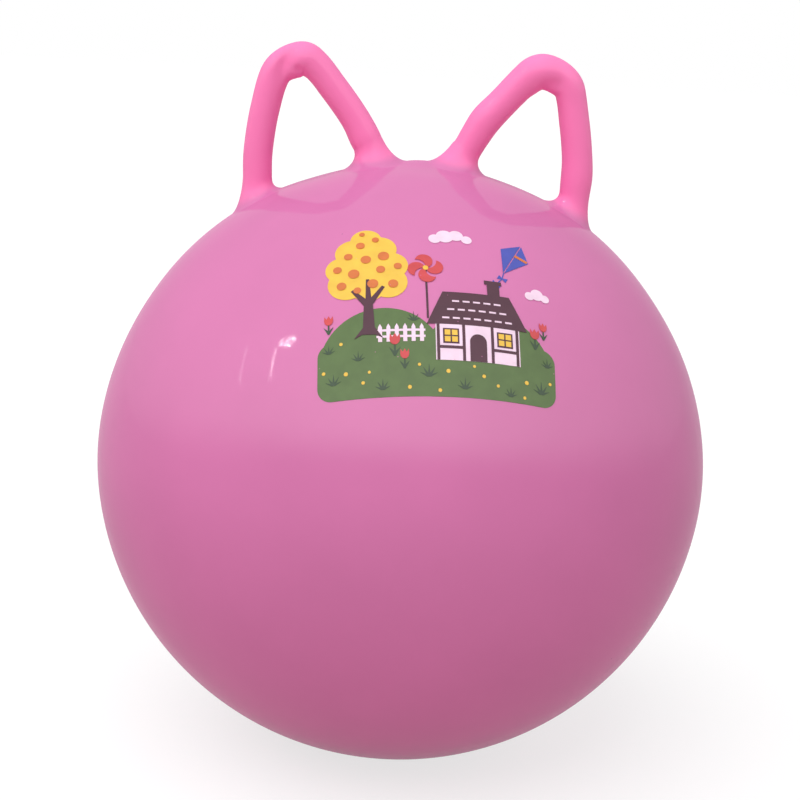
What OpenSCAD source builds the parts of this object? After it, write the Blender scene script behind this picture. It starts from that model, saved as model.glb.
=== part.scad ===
// Hopper ball: an inflated vinyl ball with two looped ear handles, a rear valve and a printed garden picture.
// Millimetres, +Z up. The origin is the middle of the patch on the floor, and the picture faces -Y.

/* [Ball] */
// Width of the inflated ball at its equator
ball_w = 450; // [350:5:550]
// How much lower the crown stands than on a perfectly round ball
ball_sag = 4; // [2:0.5:7]
// Thickness of the inflated skin
skin_t = 1.2; // [0.8:0.1:3]
// Width of the flat patch that the ball's weight presses on the floor
foot_d = 58; // [40:2:90]

/* [Ear handles] */
// Distance of each outer foot from the middle of the ball
ear_outer_x = 114; // [95:1:140]
// Distance of each inner foot from the middle of the ball
ear_inner_x = 29; // [24:1:40]
// Distance of the left ear's tip from the middle of the ball
left_tip_x = 86.3; // [75:0.1:108]
// Distance of the right ear's tip from the middle of the ball
right_tip_x = 88.6; // [75:0.1:108]
// Height of the tube's middle line at the tip over the crown
ear_rise = 70.2; // [55:0.1:90]
// Thickness of the left ear's legs
left_leg_d = 20.8; // [17:0.2:25]
// Thickness of the right ear's legs
right_leg_d = 21.6; // [18:0.2:26]
// Thickness of the tube round the tip
ear_tip_d = 25.2; // [22:0.2:31]
// Wall of the hollow ear tube
ear_wall = 2; // [1.4:0.1:3]
// Reach of the fillet where an outer foot runs out into the ball
outer_fillet = 8; // [6:0.5:12]
// Reach of the fillet where an inner foot runs out into the ball
inner_fillet = 14; // [8:0.5:15]

/* [Valve] */
// Height of the valve above the horizon of the rear face, in degrees
valve_lat = 20; // [10:1:40]
// Width of the valve bore
bore_d = 6.8; // [5:0.1:9]
// Width of the seat's flange, bonded inside the skin
flange_d = 30; // [26:0.5:40]
// Thickness of the seat's flange
flange_t = 2.4; // [2:0.1:4]
// Width of the seat's collar, which passes through the skin
collar_d = 17; // [16:0.5:21]
// Width of the seat's inner tube
seat_tube_d = 11.6; // [11:0.1:14]
// Depth of the seat below the ball's surface
seat_depth = 19; // [16:0.5:26]
// Width of the plug's head
plug_head_d = 12; // [11:0.1:13]
// Thickness of the plug's head
plug_head_t = 1.9; // [1.5:0.1:2.2]
// Length of the plug below its head
plug_l = 15; // [12:0.5:20]
// Thickness of the plug between its sealing rings
plug_core_d = 5.4; // [4:0.1:6]

/* [Picture] */
// Width of the printed picture
print_w = 152; // [110:2:180]
// Height of the printed picture
print_h = 130; // [90:2:150]
// Height of the picture's middle above the horizon, in degrees
print_lat = 43; // [36:1:45]
// How far the picture's middle sits right of the front, in degrees
print_lon = 6.5; // [-20:0.5:20]
// Thickness of one layer of ink
ink_t = 0.12; // [0.08:0.01:0.3]

/* [Hidden] */
$fn = 240;

// Ball: two domes of one radius meet at the equator, so the ball is a little wider than it is tall
ball_r = ball_w / 2;
crown_h = ball_r - ball_sag;
dome_r = (ball_r * ball_r + crown_h * crown_h) / (2 * crown_h);
dome_drop = dome_r - crown_h;
equator_z = sqrt(dome_r * dome_r - foot_d * foot_d / 4) - dome_drop;
dome_z = equator_z - dome_drop;
crown_z = equator_z + crown_h;
cut_over = 10;
glue_gap = 0.05;

// Ears: each point of a leg is [share of the way from foot to tip, bow outward as a share of that way]
left_outer_shares = [[0.144, 0.043], [0.331, 0.094], [0.610, 0.132], [0.874, 0.127]];
left_inner_shares = [[0.175, 0.052], [0.401, 0.082], [0.685, 0.084], [0.897, 0.069]];
right_outer_shares = [[0.137, 0.056], [0.340, 0.111], [0.617, 0.141], [0.863, 0.146]];
right_inner_shares = [[0.176, 0.047], [0.368, 0.071], [0.609, 0.080], [0.846, 0.065]];
ear_sides = 20;
rings_per_span = 4;
fillet_rings = 6;
tip_spread_share = 0.92;
ear_seat_gap = 0.15;
root_lip = 0.6;

// Valve
head_clearance = 0.3;
head_proud_share = 0.15;
head_recess = plug_head_t * (1 - head_proud_share);
head_seat_gap = 0.05;
seal_clearance = 0.05;
seal_count = 3;
seal_width_share = 0.11;
seal_pitch_share = 0.24;
tip_cone_share = 0.2;
tip_end_share = 0.5;
head_bevel_share = 0.3;
head_dimple_share = 0.55;
dimple_depth_share = 0.35;

// Picture
ink_gap = 0.05;
motif_h_share = 0.855;
motif_w = min(print_w, print_h / motif_h_share);
near_share = 0.7;
reach_share = 0.4;

function surface_z(x) = dome_z + sqrt(dome_r * dome_r - x * x);

function unit(v) = v / norm(v);

// Sideways of a leg, away from the middle of the ear
function leg_side(foot, tip) = sign(foot[0] - tip[0]) * [tip[1] - foot[1], foot[0] - tip[0]];

function leg_points(foot, tip, shares) =
    [for (s = shares) foot + s[0] * (tip - foot) + s[1] * leg_side(foot, tip)];

function reversed(list) = [for (i = [len(list) - 1 : -1 : 0]) list[i]];

// Middle line of one ear in the XZ plane, from the outer foot over the tip to the inner foot
function ear_line(tip_x, outer_shares, inner_shares) =
    let (outer_foot = [ear_outer_x, surface_z(ear_outer_x)],
        inner_foot = [ear_inner_x, surface_z(ear_inner_x)],
        tip = [tip_x, crown_z + ear_rise])
    concat([outer_foot], leg_points(outer_foot, tip, outer_shares), [tip],
        reversed(leg_points(inner_foot, tip, inner_shares)), [inner_foot]);

// Catmull-Rom curve through the points of a line, at position u counted in points
function line_at(line, u) =
    let (i = min(floor(u), len(line) - 2), t = u - i,
        a = line[max(i - 1, 0)], b = line[i], c = line[i + 1], d = line[min(i + 2, len(line) - 1)])
    (2 * b + (c - a) * t + (2 * a - 5 * b + 4 * c - d) * t * t + (3 * b - a - 3 * c + d) * t * t * t) / 2;

function line_direction(line, u) =
    let (step = 1 / 64) unit(line_at(line, u + step) - line_at(line, u - step));

// One ring of points about the middle line, square to it
function ring(line, u, r) =
    let (p = line_at(line, u), along = line_direction(line, u))
    [for (k = [0 : ear_sides - 1]) let (a = 360 * k / ear_sides)
        [p[0] - along[1] * r * cos(a), r * sin(a), p[1] + along[0] * r * cos(a)]];

// Where a point comes down on the ball when it slides along a direction
function landed(p, down) =
    let (w = p - [0, 0, dome_z], b = w * down, r = dome_r + ear_seat_gap)
    p - down * (b + sqrt(b * b - w * w + r * r));

function root_direction(line, at_start) =
    let (foot = at_start ? line[0] : line[len(line) - 1], next = at_start ? line[1] : line[len(line) - 2],
        d = unit(foot - next))
    [d[0], 0, d[1]];

function landed_ring(line, u, r, down) = [for (p = ring(line, u, r)) landed(p, down)];

function lifted(p, h) = p + h * unit(p - [0, 0, dome_z]);

// Fillet rings from the edge on the ball up to the leg
function root_rings(line, u, r, down, fillet) =
    let (top = ring(line, u, r), corner = landed_ring(line, u, r, down),
        edge = landed_ring(line, u, r + fillet, down))
    concat([corner, edge], [for (j = [0 : fillet_rings - 1]) let (a = 90 - 90 * j / fillet_rings)
        [for (k = [0 : ear_sides - 1])
            corner[k] + (top[k] - corner[k]) * (1 - sin(a))
            + (lifted(edge[k], root_lip) - corner[k]) * (1 - cos(a))]]);

function tube_r(u, leg_r, middle) =
    leg_r + (ear_tip_d / 2 - leg_r) * exp(-pow((u - middle) / tip_spread_share, 2));

function ring_faces(count) =
    [for (j = [0 : count - 1], k = [0 : ear_sides - 1])
        let (a = j * ear_sides, b = (j + 1) % count * ear_sides, n = (k + 1) % ear_sides)
        each [[a + k, a + n, b + k], [a + n, b + n, b + k]]];

// Hollow ear tube whose two open feet are shaped to the ball
module ear(line, leg_d) {
    last = len(line) - 2;
    middle = (len(line) - 1) / 2;
    leg_r = leg_d / 2;
    start_down = root_direction(line, true);
    end_down = root_direction(line, false);
    stations = [for (i = [0 : (last - 1) * rings_per_span]) 1 + i / rings_per_span];
    outside = [for (u = stations) ring(line, u, tube_r(u, leg_r, middle))];
    inside = [for (u = stations) ring(line, u, tube_r(u, leg_r, middle) - ear_wall)];
    bore_r = leg_r - ear_wall;
    rings = concat([landed_ring(line, 1, bore_r, start_down)],
        root_rings(line, 1, leg_r, start_down, outer_fillet), outside,
        reversed(root_rings(line, last, leg_r, end_down, inner_fillet)),
        [landed_ring(line, last, bore_r, end_down)], reversed(inside));
    polyhedron(points = [for (r = rings) each r], faces = ring_faces(len(rings)), convexity = 8);
}

left_line = ear_line(left_tip_x, left_outer_shares, left_inner_shares);
right_line = ear_line(right_tip_x, right_outer_shares, right_inner_shares);

module above(z) {
    translate([-ball_w, -ball_w, z]) cube(2 * ball_w);
}

module dome_pair(r) {
    intersection() {
        translate([0, 0, dome_z]) sphere(r = r);
        translate([0, 0, equator_z + dome_drop]) sphere(r = r);
    }
}

// Hole through the skin under one foot of an ear, so that air fills the tube
module air_hole(line, at_start, leg_d) {
    foot = at_start ? line[0] : line[len(line) - 1];
    down = root_direction(line, at_start);
    translate([foot[0], 0, foot[1]]) rotate([0, atan2(down[0], down[2]), 0])
        translate([0, 0, -cut_over]) cylinder(h = 2 * cut_over, d = leg_d - 2 * ear_wall);
}

module air_holes(line, leg_d) {
    air_hole(line, true, leg_d);
    air_hole(line, false, leg_d);
}

module at_valve() {
    translate([0, 0, dome_z]) rotate([valve_lat - 90, 0, 0]) children();
}

module ball_skin() {
    color("#e68ec0") difference() {
        intersection() {
            dome_pair(dome_r);
            above(0);
        }
        intersection() {
            dome_pair(dome_r - skin_t);
            above(skin_t);
        }
        mirror([1, 0, 0]) air_holes(left_line, left_leg_d);
        air_holes(right_line, right_leg_d);
        at_valve() translate([0, 0, dome_r - cut_over])
            cylinder(h = 2 * cut_over, d = collar_d + 2 * glue_gap);
    }
}

module left_ear() {
    color("#fb7db5") mirror([1, 0, 0]) ear(left_line, left_leg_d);
}

module right_ear() {
    color("#fb7db5") ear(right_line, right_leg_d);
}

// Moulded seat: a flange bonded inside the skin, a collar flush with the outside and a tube for the plug
module valve_seat() {
    color("#f1a3cb") difference() {
        union() {
            at_valve() translate([0, 0, dome_r - seat_depth])
                cylinder(h = seat_depth - skin_t, d = seat_tube_d);
            intersection() {
                at_valve() translate([0, 0, dome_r - skin_t - flange_t])
                    cylinder(h = flange_t, d = flange_d);
                translate([0, 0, dome_z]) sphere(r = dome_r - skin_t - glue_gap);
            }
            intersection() {
                at_valve() translate([0, 0, dome_r - skin_t - flange_t])
                    cylinder(h = flange_t + skin_t + cut_over, d = collar_d);
                translate([0, 0, dome_z]) sphere(r = dome_r);
            }
        }
        at_valve() translate([0, 0, dome_r - head_recess])
            cylinder(h = head_recess + cut_over, d = plug_head_d + 2 * head_clearance);
        at_valve() translate([0, 0, dome_r - seat_depth - cut_over])
            cylinder(h = seat_depth + 2 * cut_over, d = bore_d);
    }
}

// Push-in stopper: a bevelled head, a core with sealing rings and a cone end
module valve_plug() {
    head_r = plug_head_d / 2;
    bevel = plug_head_t * head_bevel_share;
    cone_l = plug_l * tip_cone_share;
    seal_d = bore_d - 2 * seal_clearance;
    color("#f6f2f0") at_valve() translate([0, 0, dome_r - head_recess + head_seat_gap]) difference() {
        union() {
            cylinder(h = plug_head_t - bevel, r = head_r);
            translate([0, 0, plug_head_t - bevel]) cylinder(h = bevel, r1 = head_r, r2 = head_r - bevel);
            translate([0, 0, cone_l - plug_l]) cylinder(h = plug_l - cone_l, d = plug_core_d);
            translate([0, 0, -plug_l])
                cylinder(h = cone_l, d1 = plug_core_d * tip_end_share, d2 = plug_core_d);
            for (i = [1 : seal_count])
                translate([0, 0, -plug_l * seal_pitch_share * i])
                    cylinder(h = plug_l * seal_width_share, d = seal_d);
        }
        translate([0, 0, plug_head_t * (1 - dimple_depth_share)])
            cylinder(h = plug_head_t, d = plug_head_d * head_dimple_share);
    }
}

// Lays a flat drawing on the ball as one layer of ink. The drawing's middle is the picture's middle.
module ink(level) {
    inner_r = dome_r + ink_gap + level * (ink_t + ink_gap);
    translate([0, 0, dome_z]) difference() {
        intersection() {
            rotate([90 - print_lat, 0, print_lon]) translate([0, 0, dome_r * near_share])
                linear_extrude(height = dome_r * reach_share) children();
            sphere(r = inner_r + ink_t);
        }
        sphere(r = inner_r);
    }
}

function place(share) = [share[0] * print_w, share[1] * print_h];

module put(share, turn = 0) {
    translate(place(share)) rotate(turn) children();
}

// Meadow: two hills on a strip of lawn with rounded ends. Hills are [across, up, radius] as shares.
hill_shares = [[-0.235, -0.345, 0.262], [0.20, -0.385, 0.295]];
lawn_round_share = 0.06;
lawn_top_share = -0.28;

module meadow() {
    round_r = print_w * lawn_round_share;
    left = -print_w / 2;
    bottom = -print_h / 2;
    top = print_h * lawn_top_share;
    intersection() {
        for (m = hill_shares) put(m) circle(print_w * m[2]);
        translate([left, bottom + round_r]) square([print_w, print_h]);
    }
    translate([left, bottom + round_r]) square([print_w, top - bottom - round_r]);
    translate([left + round_r, bottom]) square([print_w - 2 * round_r, top - bottom]);
    for (s = [-1, 1]) translate([s * (print_w / 2 - round_r), bottom + round_r]) circle(round_r);
    for (s = [-1, 1]) translate([s * (print_w / 2 - round_r), top]) circle(round_r);
}

module print_green() {
    color("#5c7a4c") ink(0) meadow();
}

// Tufts of grass: [across, up, size] as shares
tuft_shares = [[-0.435, -0.425, 0.050], [-0.455, -0.265, 0.042], [-0.235, -0.465, 0.048],
    [-0.045, -0.405, 0.056], [-0.105, -0.115, 0.046], [0.105, -0.46, 0.050], [0.435, -0.44, 0.056],
    [0.465, -0.30, 0.042], [-0.335, -0.315, 0.044], [0.30, -0.475, 0.042]];
blade_turns = [-64, -32, 0, 32, 64];
blade_droop_share = 0.28;
valley_share = 0.3;
tuft_foot_share = 0.16;

function blade_tip(size, turn) =
    size * (1 - blade_droop_share * abs(turn) / max(blade_turns)) * [sin(turn), cos(turn)];

function blade_valley(size, i) =
    let (turn = (blade_turns[i] + blade_turns[i + 1]) / 2) size * valley_share * [sin(turn), cos(turn)];

module tuft(size) {
    last = len(blade_turns) - 1;
    polygon(concat([[-size * tuft_foot_share, 0], blade_tip(size, blade_turns[0])],
        [for (i = [1 : last]) each [blade_valley(size, i - 1), blade_tip(size, blade_turns[i])]],
        [[size * tuft_foot_share, 0]]));
}

// Tulips: [across, up, height] as shares. A stem is one outline with a leaf on each side.
tulip_shares = [[-0.185, -0.30, 0.10], [-0.145, -0.365, 0.085], [0.415, -0.215, 0.095],
    [0.455, -0.155, 0.08], [-0.455, -0.16, 0.085]];
stem_shares = [[0.04, 0], [0.24, 0.40], [0.04, 0.22], [0.04, 0.62], [-0.04, 0.62], [-0.04, 0.22],
    [-0.24, 0.40], [-0.04, 0]];
petal_shares = [[0, 0.5], [0.09, 0.52], [0.19, 0.62], [0.22, 0.76], [0.20, 1.0], [0.10, 0.84], [0, 1.02],
    [-0.10, 0.84], [-0.20, 1.0], [-0.22, 0.76], [-0.19, 0.62], [-0.09, 0.52]];

module print_dark_green() {
    color("#39503d") ink(1) {
        for (t = tuft_shares) put(t) tuft(motif_w * t[2]);
        for (t = tulip_shares) put(t) polygon(stem_shares * motif_w * t[2]);
    }
}

// Cottage: outlines are shares of its width
cottage_share = [0.165, -0.32];
cottage_w = motif_w * 0.36;
wall_shares = [[-0.5, 0], [0.5, 0], [0.5, 0.52], [-0.5, 0.52]];
eaves_shares = [[-0.53, 0.475], [0.53, 0.475], [0.37, 0.855], [-0.37, 0.855]];
roof_shares = [[-0.60, 0.45], [0.60, 0.45], [0.40, 0.89], [-0.40, 0.89]];
chimney_shares = [[0.14, 0.80], [0.29, 0.80], [0.29, 1.07], [0.14, 1.07]];
pot_shares = [[0.11, 1.045], [0.32, 1.045], [0.32, 1.10], [0.11, 1.10]];
door_size_shares = [0.20, 0.24];
beam_width_share = 0.035;
post_shares = [-0.47, -0.17, 0.17, 0.47];
sill_share = 0.16;
window_shares = [[-0.32, 0.30], [0.32, 0.30]];
window_size_share = 0.19;
pane_size_share = 0.066;
pane_pitch_share = 0.042;
tile_rows = 3;
tiles_per_row = 7;
tile_size_shares = [0.085, 0.026];
tile_pitch_shares = [0.125, 0.115];
tile_first_share = 0.535;

module tiles() {
    for (row = [0 : tile_rows - 1])
        for (i = [0 : tiles_per_row - 1 - row])
            translate([(i - (tiles_per_row - 1 - row) / 2) * tile_pitch_shares[0],
                tile_first_share + row * tile_pitch_shares[1]] * cottage_w)
                square(tile_size_shares * cottage_w, center = true);
}

module timber_frame() {
    beam = cottage_w * beam_width_share;
    wall_h = cottage_w * wall_shares[2][1];
    for (x = post_shares) translate([x * cottage_w - beam / 2, 0]) square([beam, wall_h]);
    sill_w = (post_shares[3] - post_shares[2]) * cottage_w;
    sill_x = (post_shares[3] + post_shares[2]) / 2 * cottage_w;
    for (s = [-1, 1]) translate([s * sill_x, sill_share * cottage_w]) square([sill_w, beam], center = true);
}

module door() {
    w = cottage_w * door_size_shares[0];
    h = cottage_w * door_size_shares[1];
    translate([-w / 2, 0]) square([w, h]);
    translate([0, h]) circle(w / 2);
}

// Fence: pales with pointed tops on two rails
fence_share = [-0.245, -0.225];
pale_count = 6;
pale_w = motif_w * 0.0165;
pale_h = motif_w * 0.083;
pale_pitch = motif_w * 0.0345;
pale_shares = [[-0.5, 0], [0.5, 0], [0.5, 0.8], [0, 1], [-0.5, 0.8]];
rail_shares = [0.22, 0.56];
rail_over_share = 0.9;

module fence() {
    for (i = [0 : pale_count - 1]) translate([i * pale_pitch, 0])
        polygon([for (p = pale_shares) [p[0] * pale_w, p[1] * pale_h]]);
    for (r = rail_shares) translate([-pale_w * rail_over_share, r * pale_h])
        square([(pale_count - 1) * pale_pitch + 2 * pale_w * rail_over_share, pale_w * 0.6]);
}

// Clouds: [across, up, radius] as shares
cloud_shares = [[0.005, 0.405, 0.027], [0.05, 0.425, 0.038], [0.10, 0.435, 0.032], [0.145, 0.41, 0.024],
    [0.405, 0.09, 0.021], [0.44, 0.105, 0.029], [0.475, 0.09, 0.020]];

module print_white() {
    color("#f3d3ea") {
        ink(1) {
            put(cottage_share) {
                polygon(wall_shares * cottage_w);
                polygon(eaves_shares * cottage_w);
            }
            put(fence_share) fence();
            for (c = cloud_shares) put(c) circle(motif_w * c[2]);
        }
    }
}

// Fruit tree: crown lobes and fruit are [across, up, radius] as shares of the picture's width
tree_share = [-0.29, 0.02];
crown_shares = [[-0.085, 0.085, 0.082], [0.0, 0.065, 0.078], [0.086, 0.08, 0.080], [-0.105, 0.165, 0.070],
    [0.1, 0.17, 0.072], [0, 0.18, 0.11], [-0.055, 0.255, 0.078], [0.052, 0.265, 0.076], [0.0, 0.325, 0.066]];
fruit_shares = [[-0.11, 0.075, 0.020], [-0.045, 0.045, 0.016], [0.02, 0.075, 0.023], [0.105, 0.07, 0.021],
    [-0.125, 0.165, 0.018], [-0.058, 0.135, 0.024], [0.055, 0.15, 0.019], [0.128, 0.165, 0.017],
    [-0.005, 0.21, 0.022], [-0.078, 0.235, 0.018], [0.07, 0.225, 0.024], [-0.025, 0.295, 0.019],
    [0.04, 0.325, 0.015], [-0.015, 0.365, 0.012]];
trunk_shares = [[-0.062, -0.19], [-0.028, -0.172], [0.026, -0.175], [0.058, -0.192], [0.024, -0.14],
    [0.018, -0.03], [0.07, 0.055], [0.058, 0.062], [0.012, 0.005], [0.006, 0.10], [-0.008, 0.10],
    [-0.012, 0.0], [-0.062, 0.05], [-0.072, 0.042], [-0.02, -0.035], [-0.025, -0.14]];

module print_yellow() {
    color("#f0c24a") {
        ink(1) {
            put(tree_share) for (c = crown_shares) translate([c[0], c[1]] * motif_w) circle(motif_w * c[2]);
            for (d = daisy_shares) put(d) circle(motif_w * d[2]);
        }
        ink(3) {
            put(cottage_share) for (w = window_shares, x = [-1, 1], y = [-1, 1])
                translate([w[0] + x * pane_pitch_share, w[1] + y * pane_pitch_share] * cottage_w)
                    square(cottage_w * pane_size_share, center = true);
            put(pinwheel_share) circle(motif_w * hub_share);
        }
    }
}

// Small daisies on the lawn: [across, up, radius] as shares
daisy_shares = [[-0.385, -0.375, 0.0085], [-0.315, -0.425, 0.007], [-0.405, -0.22, 0.007],
    [-0.125, -0.455, 0.008], [-0.085, -0.345, 0.0065], [0.0, -0.47, 0.0075], [0.035, -0.375, 0.0085],
    [0.185, -0.39, 0.0075], [0.245, -0.43, 0.0065], [0.37, -0.395, 0.0085], [0.36, -0.47, 0.0065],
    [-0.475, -0.36, 0.007], [0.475, -0.38, 0.0065], [-0.29, -0.375, 0.006], [0.145, -0.345, 0.006]];

module print_orange() {
    color("#d9773a") {
        ink(3) put(tree_share)
            for (f = fruit_shares) translate([f[0], f[1]] * motif_w) circle(motif_w * f[2]);
        ink(2) put(kite_share, kite_turn) polygon(kite_band_shares * kite_h);
    }
}

module print_brown() {
    color("#55293a") {
        ink(2) put(cottage_share) {
            difference() {
                union() {
                    polygon(roof_shares * cottage_w);
                    polygon(chimney_shares * cottage_w);
                    polygon(pot_shares * cottage_w);
                }
                tiles();
            }
            timber_frame();
            door();
            for (w = window_shares) translate(w * cottage_w)
                square(cottage_w * window_size_share, center = true);
        }
        ink(2) put(tree_share) polygon(trunk_shares * motif_w);
        ink(1) put(pinwheel_share) pinwheel_stick();
    }
}

// Pinwheel: four round sails on a stick
pinwheel_share = [-0.045, 0.20];
sail_r = motif_w * 0.038;
sail_count = 4;
sail_place_share = [0.2, 1];
sail_bite_share = [-1.05, -0.42];
hub_share = 0.012;
stick_width_share = 0.009;
stick_share = 0.257;

module pinwheel_stick() {
    w = motif_w * stick_width_share;
    translate([-w / 2, -motif_w * stick_share]) square([w, motif_w * stick_share]);
}

module sail() {
    translate(sail_r * sail_place_share) difference() {
        circle(sail_r);
        translate(sail_r * sail_bite_share) circle(sail_r);
    }
}

module pinwheel() {
    for (i = [0 : sail_count - 1]) rotate(360 * i / sail_count) sail();
}

module print_red() {
    color("#cf4a50") ink(2) {
        put(pinwheel_share, 20) pinwheel();
        for (t = tulip_shares) put(t) polygon(petal_shares * motif_w * t[2]);
    }
}

// Kite: two blue sails, a tail line and its bows, as shares of the kite's height
kite_share = [0.345, 0.315];
kite_h = motif_w * 0.205;
kite_turn = -28;
kite_sail_shares = [[[-0.012, 0.5], [-0.012, -0.5], [-0.33, 0.12]],
    [[0.012, 0.5], [0.33, 0.12], [0.012, -0.5]]];
kite_band_shares = [[0.0, 0.16], [0.30, 0.16], [0.30, 0.09], [0.0, 0.09]];
tail_shares = [[-0.012, -0.49], [0.012, -0.49], [0.05, -0.68], [0.0, -0.88], [-0.024, -0.88],
    [0.024, -0.68]];
bow_shares = [[[0.04, -0.655], [0.14, -0.60], [0.14, -0.72], [0.04, -0.675], [-0.06, -0.73], [-0.06, -0.61]],
    [[-0.01, -0.865], [0.09, -0.82], [0.09, -0.94], [-0.01, -0.885], [-0.11, -0.93], [-0.11, -0.81]]];

module print_blue() {
    color("#4a55b4") ink(1) put(kite_share, kite_turn) {
        for (s = kite_sail_shares) polygon(s * kite_h);
        polygon(tail_shares * kite_h);
        for (b = bow_shares) polygon(b * kite_h);
    }
}

ball_skin();
left_ear();
right_ear();
valve_seat();
valve_plug();
print_green();
print_dark_green();
print_white();
print_yellow();
print_orange();
print_brown();
print_red();
print_blue();
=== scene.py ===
import math

import bmesh
import bpy
import numpy as np
from mathutils import Matrix, Vector


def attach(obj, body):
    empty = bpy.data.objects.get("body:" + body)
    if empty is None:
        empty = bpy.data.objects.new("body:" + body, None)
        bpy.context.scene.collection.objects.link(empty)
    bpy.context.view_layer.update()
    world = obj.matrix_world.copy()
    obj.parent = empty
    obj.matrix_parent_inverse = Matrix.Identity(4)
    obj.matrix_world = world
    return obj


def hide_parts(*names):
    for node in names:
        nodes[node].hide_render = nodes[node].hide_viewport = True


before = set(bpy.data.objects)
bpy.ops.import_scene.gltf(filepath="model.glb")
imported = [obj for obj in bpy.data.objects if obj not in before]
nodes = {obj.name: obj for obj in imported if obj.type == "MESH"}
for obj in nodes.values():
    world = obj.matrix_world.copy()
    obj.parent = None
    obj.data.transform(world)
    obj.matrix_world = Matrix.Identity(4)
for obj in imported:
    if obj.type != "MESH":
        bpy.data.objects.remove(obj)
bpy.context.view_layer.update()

# The ball is one rotomoulded shell of soft PVC, blown up until the wall is about a millimetre thick.
# Its own weight makes it a little wider than tall and presses a flat patch where it stands.
# The skin is a polar grid about the valve, so that the valve's hole is a true circle.
BALL_WIDTH = 0.450
CROWN_SAG = 0.004
FOOT_WIDTH = 0.058
SKIN = 0.0012
EQUATOR_BLEND = 0.001
FOOT_BLEND = 0.0008
VALVE_LATITUDE = math.radians(20)
VALVE_HOLE = 0.0171
SKIN_ROWS, SKIN_COLUMNS = 150, 300
SHARP_EDGE = math.radians(50)

crown_height = BALL_WIDTH / 2 - CROWN_SAG
dome_radius = ((BALL_WIDTH / 2) ** 2 + crown_height ** 2) / (2 * crown_height)
dome_drop = dome_radius - crown_height
equator_z = math.sqrt(dome_radius ** 2 - FOOT_WIDTH ** 2 / 4) - dome_drop
upper_middle = np.array([0.0, 0.0, equator_z - dome_drop])
lower_middle = np.array([0.0, 0.0, equator_z + dome_drop])
crown_z = equator_z + crown_height

# Where the skin stands off its dome: place across, back and up from the ball's middle, spread, and height.
# It is drawn up into a web between the ears, and hangs a little slack inside the loops and at the shoulders.
PULLS = (
    ((0.006, 0.0, 0.221), (0.024, 0.014, 0.030), 0.0033),
    ((-0.070, 0.0, 0.210), (0.026, 0.030, 0.040), -0.0014),
    ((0.070, 0.0, 0.210), (0.026, 0.030, 0.040), -0.0008),
    ((0.178, 0.035, 0.125), (0.050, 0.060, 0.060), -0.0015),
    ((-0.195, 0.030, 0.090), (0.050, 0.060, 0.060), -0.0008),
)


def dot(a, b):
    return (a * b).sum(axis=-1, keepdims=True)


def unit(v):
    return v / np.linalg.norm(v, axis=-1, keepdims=True)


def pull(points):
    """How far the skin stands off its dome at these points."""
    height = 0
    for place, spread, amount in PULLS:
        away = (points - np.array([0, 0, equator_z]) - np.array(place)) / np.array(spread)
        height = height + amount * np.exp(-dot(away, away))
    return height


def ball_surface(direction):
    """Points of the skin that lie in these directions from the middle of the upper dome."""
    across = dot(upper_middle - lower_middle, direction)
    gap = np.linalg.norm(upper_middle - lower_middle)
    lower = -across + np.sqrt(across ** 2 - gap ** 2 + dome_radius ** 2)
    close = np.clip(EQUATOR_BLEND - np.abs(lower - dome_radius), 0, None)
    reach = np.minimum(lower, dome_radius) - close ** 2 / (4 * EQUATOR_BLEND)
    points = upper_middle + direction * reach
    points = points + direction * pull(points)
    z = points[..., 2]
    eased = (z + FOOT_BLEND) ** 2 / (4 * FOOT_BLEND)
    points[..., 2] = np.where(z > FOOT_BLEND, z, np.where(z < -FOOT_BLEND, 0, eased))
    return points


def mesh_object(name, points, faces):
    mesh = bpy.data.meshes.new(name)
    mesh.from_pydata([tuple(p) for p in points], [], [tuple(f) for f in faces])
    mesh.validate()
    mesh.polygons.foreach_set("use_smooth", [True] * len(mesh.polygons))
    made = bpy.data.objects.new(name, mesh)
    bpy.context.scene.collection.objects.link(made)
    return made


def apply_modifiers(piece):
    """Turns a piece with its modifiers into a plain mesh."""
    graph = bpy.context.evaluated_depsgraph_get()
    mesh = bpy.data.meshes.new_from_object(piece.evaluated_get(graph), depsgraph=graph)
    piece.modifiers.clear()
    piece.data = mesh
    return piece


def give_wall(piece, thickness):
    """Thickens an open shell inwards, with sharp edges only round its rims."""
    wall = piece.modifiers.new("wall", "SOLIDIFY")
    wall.thickness = thickness
    wall.offset = -1
    apply_modifiers(piece)
    piece.data.set_sharp_from_angle(angle=SHARP_EDGE)
    return piece


def skin_points():
    axis = np.array([0.0, math.cos(VALVE_LATITUDE), math.sin(VALVE_LATITUDE)])
    side = np.array([1.0, 0.0, 0.0])
    up = np.cross(axis, side)
    first = math.asin(VALVE_HOLE / 2 / dome_radius)
    polar = first + (math.pi - first) * np.linspace(0, 1, SKIN_ROWS + 1)[:-1, None, None]
    turn = (2 * math.pi * np.arange(SKIN_COLUMNS) / SKIN_COLUMNS)[None, :, None]
    direction = axis * np.cos(polar) + np.sin(polar) * (side * np.cos(turn) + up * np.sin(turn))
    points = ball_surface(direction).reshape(-1, 3)
    return np.vstack([points, ball_surface(-axis[None, :])])


def skin_faces():
    faces = []
    for row in range(SKIN_ROWS - 1):
        here, there = row * SKIN_COLUMNS, (row + 1) * SKIN_COLUMNS
        for i in range(SKIN_COLUMNS):
            j = (i + 1) % SKIN_COLUMNS
            faces.append((here + i, there + i, there + j, here + j))
    last = (SKIN_ROWS - 1) * SKIN_COLUMNS
    pole = SKIN_ROWS * SKIN_COLUMNS
    faces += [(last + i, pole, last + (i + 1) % SKIN_COLUMNS) for i in range(SKIN_COLUMNS)]
    return faces


def linear(code):
    """An sRGB colour such as #e68ec0 as linear red, green, blue and alpha."""
    parts = [int(code[i : i + 2], 16) / 255 for i in (1, 3, 5)]
    return tuple(c / 12.92 if c <= 0.04045 else ((c + 0.055) / 1.055) ** 2.4 for c in parts) + (1.0,)


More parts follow.
